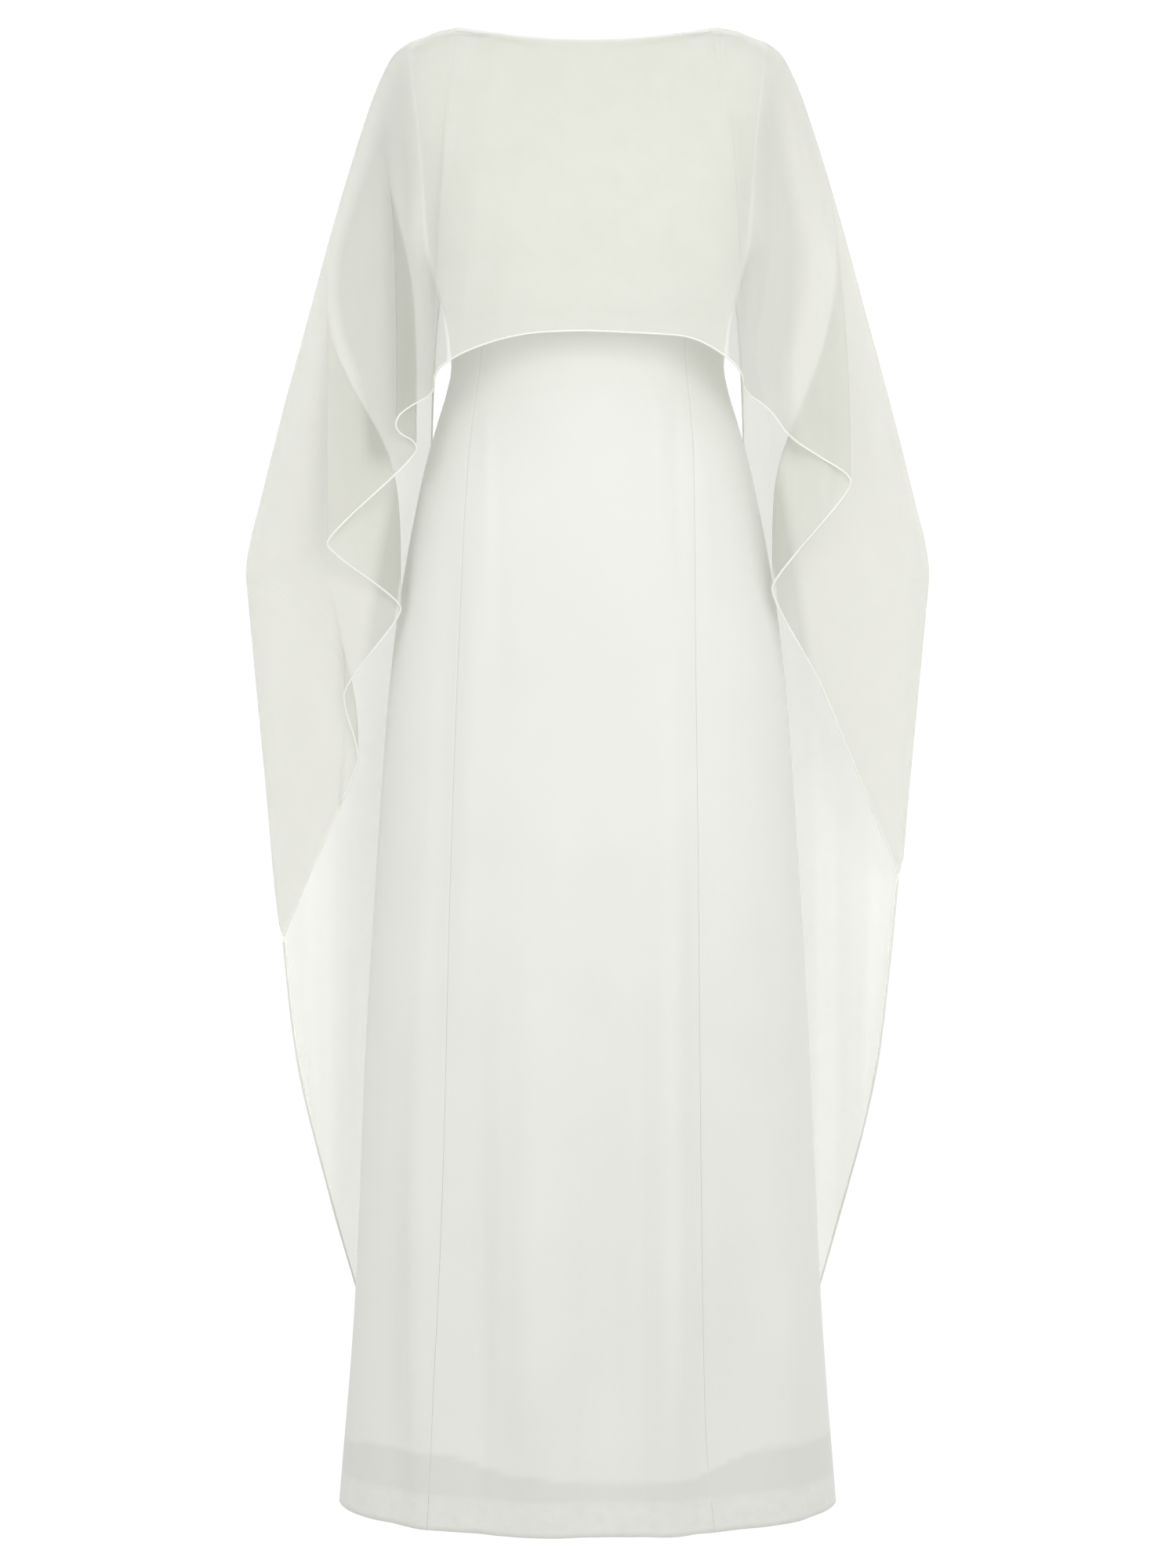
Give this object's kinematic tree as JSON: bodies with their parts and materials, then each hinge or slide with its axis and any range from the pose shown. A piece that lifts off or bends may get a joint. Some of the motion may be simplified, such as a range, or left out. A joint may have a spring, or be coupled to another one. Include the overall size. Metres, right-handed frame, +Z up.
{
  "type": "wedding dress",
  "caption": "Floor-length wedding dress in its hollow worn form: fitted bodice, boat neck and flared lined skirt, under a chiffon cape that falls in folds at the sides.",
  "frame": {"origin": "midway between the two points where the shoulder seams meet the neck, where the shoulders carry the dress", "axes": "+Z up, -Y out of the front, +X to the right of the front view"},
  "size_m": [0.698, 0.4058, 1.4984],
  "materials": {
    "crepe": "ivory-white matt crepe",
    "chiffon": "ivory-white see-through chiffon",
    "lining": "ivory-white satin lining",
    "zip_tape": "ivory-white woven tape",
    "zip_metal": "ivory-white enamel"
  },
  "bodies": {
    "dress": {"bodice_front_centre": "crepe", "bodice_front_side_left": "crepe", "bodice_front_side_right": "crepe", "bodice_back_side_left": "crepe", "bodice_back_side_right": "crepe", "bodice_back_left": "crepe", "bodice_back_right": "crepe", "skirt_front_centre": "crepe", "skirt_front_side_left": "crepe", "skirt_front_side_right": "crepe", "skirt_back_side_left": "crepe", "skirt_back_side_right": "crepe", "skirt_back_left": "crepe", "skirt_back_right": "crepe", "skirt_lining": "lining", "cape_front": "chiffon", "cape_back_left": "chiffon", "cape_back_right": "chiffon", "zip_tape": "zip_tape", "zip_slider": "zip_metal"},
    "pull": {"zip_pull": "zip_metal"}
  },
  "joints": [
    {"name": "pull_hinge", "type": "hinge", "parent": "dress", "child": "pull", "pos_m": [0, 0.06284, -0.02087], "axis": [1, 0, 0], "range_deg": [0, 150]}
  ]
}
